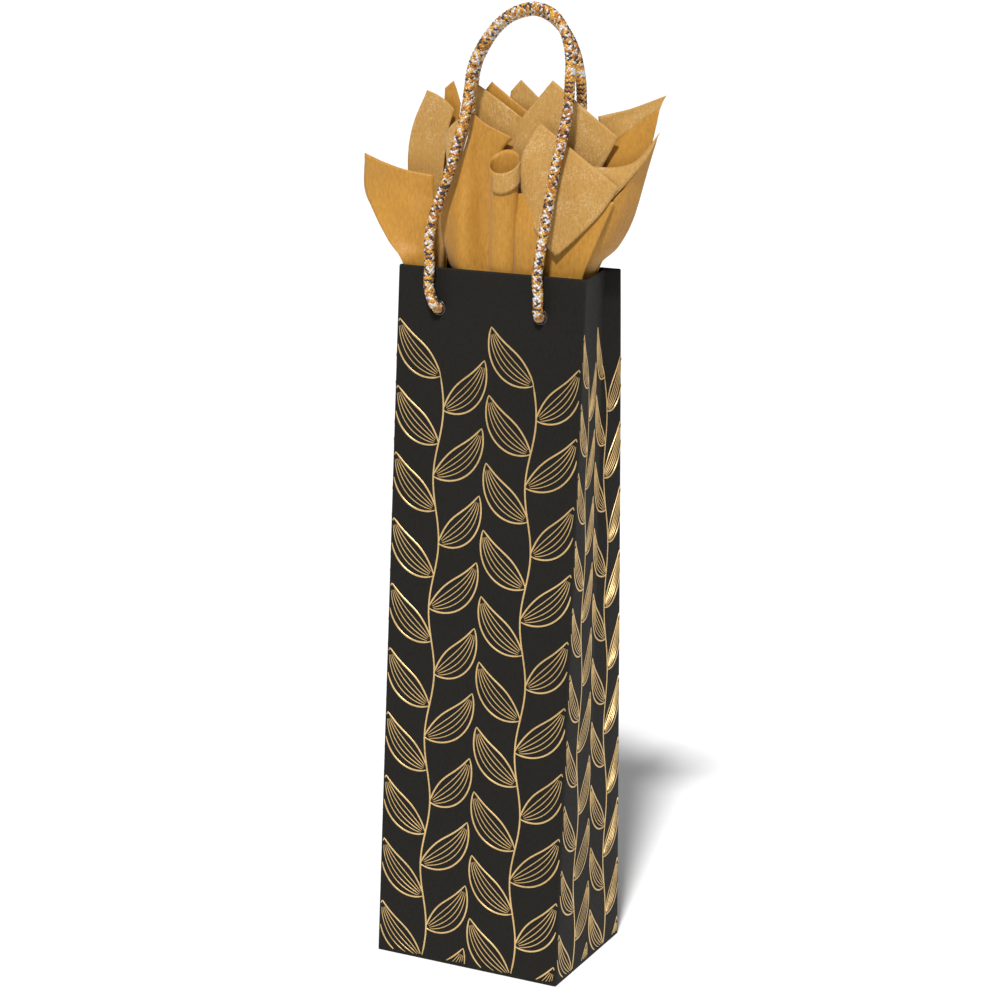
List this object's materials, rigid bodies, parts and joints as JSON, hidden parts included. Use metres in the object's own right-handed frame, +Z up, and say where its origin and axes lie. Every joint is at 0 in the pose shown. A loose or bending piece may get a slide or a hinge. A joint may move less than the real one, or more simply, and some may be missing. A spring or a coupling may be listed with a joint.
{
  "type": "wine gift bag",
  "caption": "Tall narrow paper gift bag for one bottle, its top drawn in, with braided rope handles through eyelets and tissue paper fanning out of the mouth.",
  "frame": {"origin": "middle of the base, on the surface the bag stands on", "axes": "+X along the front face, +Y from the front to the back, +Z up"},
  "size_m": [0.163, 0.079, 0.4908],
  "materials": {
    "printed_paper": "matt laminated near-black paper with gold foil line work",
    "bare_paper": "uncoated reverse of the paper",
    "stiff_card": "grey-brown stiffening card",
    "black_eyelet": "black lacquer, semi-gloss",
    "braided_rope": "braided metallic gold, copper and silver yarn with black flecks",
    "tissue_paper": "thin golden kraft tissue, faintly speckled"
  },
  "bodies": {
    "bag": {"front_panel": "printed_paper", "rear_panel": "printed_paper", "left_side_panel": "printed_paper", "right_side_panel": "printed_paper", "seam_tab": "bare_paper", "base_front_flap": "bare_paper", "base_rear_flap": "bare_paper", "base_left_flap": "bare_paper", "base_right_flap": "bare_paper", "base_card": "stiff_card", "front_turn_in": "printed_paper", "rear_turn_in": "printed_paper", "left_turn_in": "printed_paper", "right_turn_in": "printed_paper", "front_hem_card": "stiff_card", "rear_hem_card": "stiff_card", "eyelet_front_left": "black_eyelet", "eyelet_front_right": "black_eyelet", "eyelet_rear_left": "black_eyelet", "eyelet_rear_right": "black_eyelet", "washer_front_left": "black_eyelet", "washer_front_right": "black_eyelet", "washer_rear_left": "black_eyelet", "washer_rear_right": "black_eyelet", "rope_end_front_left": "braided_rope", "rope_end_front_right": "braided_rope", "rope_end_rear_left": "braided_rope", "rope_end_rear_right": "braided_rope"},
    "front_handle": {"front_handle_rope": "braided_rope"},
    "rear_handle": {"rear_handle_rope": "braided_rope"},
    "left_tissue": {"tissue_left_front": "tissue_paper", "tissue_left_rear": "tissue_paper"},
    "front_tissue": {"tissue_front_roll": "tissue_paper", "tissue_front_leaf": "tissue_paper"},
    "rear_tissue": {"tissue_rear_leaf": "tissue_paper", "tissue_rear_tall": "tissue_paper"},
    "right_tissue": {"tissue_right_front": "tissue_paper", "tissue_right_rear": "tissue_paper"}
  },
  "joints": [
    {"name": "front_handle_swing", "type": "hinge", "parent": "bag", "child": "front_handle", "pos_m": [0, -0.02441, 0.34], "axis": [1, 0, 0], "range_deg": [0, 180]},
    {"name": "rear_handle_swing", "type": "hinge", "parent": "bag", "child": "rear_handle", "pos_m": [0, 0.02913, 0.34], "axis": [-1, 0, 0], "range_deg": [0, 180]},
    {"name": "left_tissue_pull", "type": "slide", "parent": "bag", "child": "left_tissue", "axis": [0, 0, 1], "range_m": [0, 0.12]},
    {"name": "right_tissue_pull", "type": "slide", "parent": "bag", "child": "right_tissue", "axis": [0, 0, 1], "range_m": [0, 0.12]},
    {"name": "front_tissue_pull", "type": "slide", "parent": "bag", "child": "front_tissue", "axis": [0, 0, 1], "range_m": [0, 0.015]},
    {"name": "rear_tissue_pull", "type": "slide", "parent": "bag", "child": "rear_tissue", "axis": [0, 0, 1], "range_m": [0, 0.016]}
  ]
}
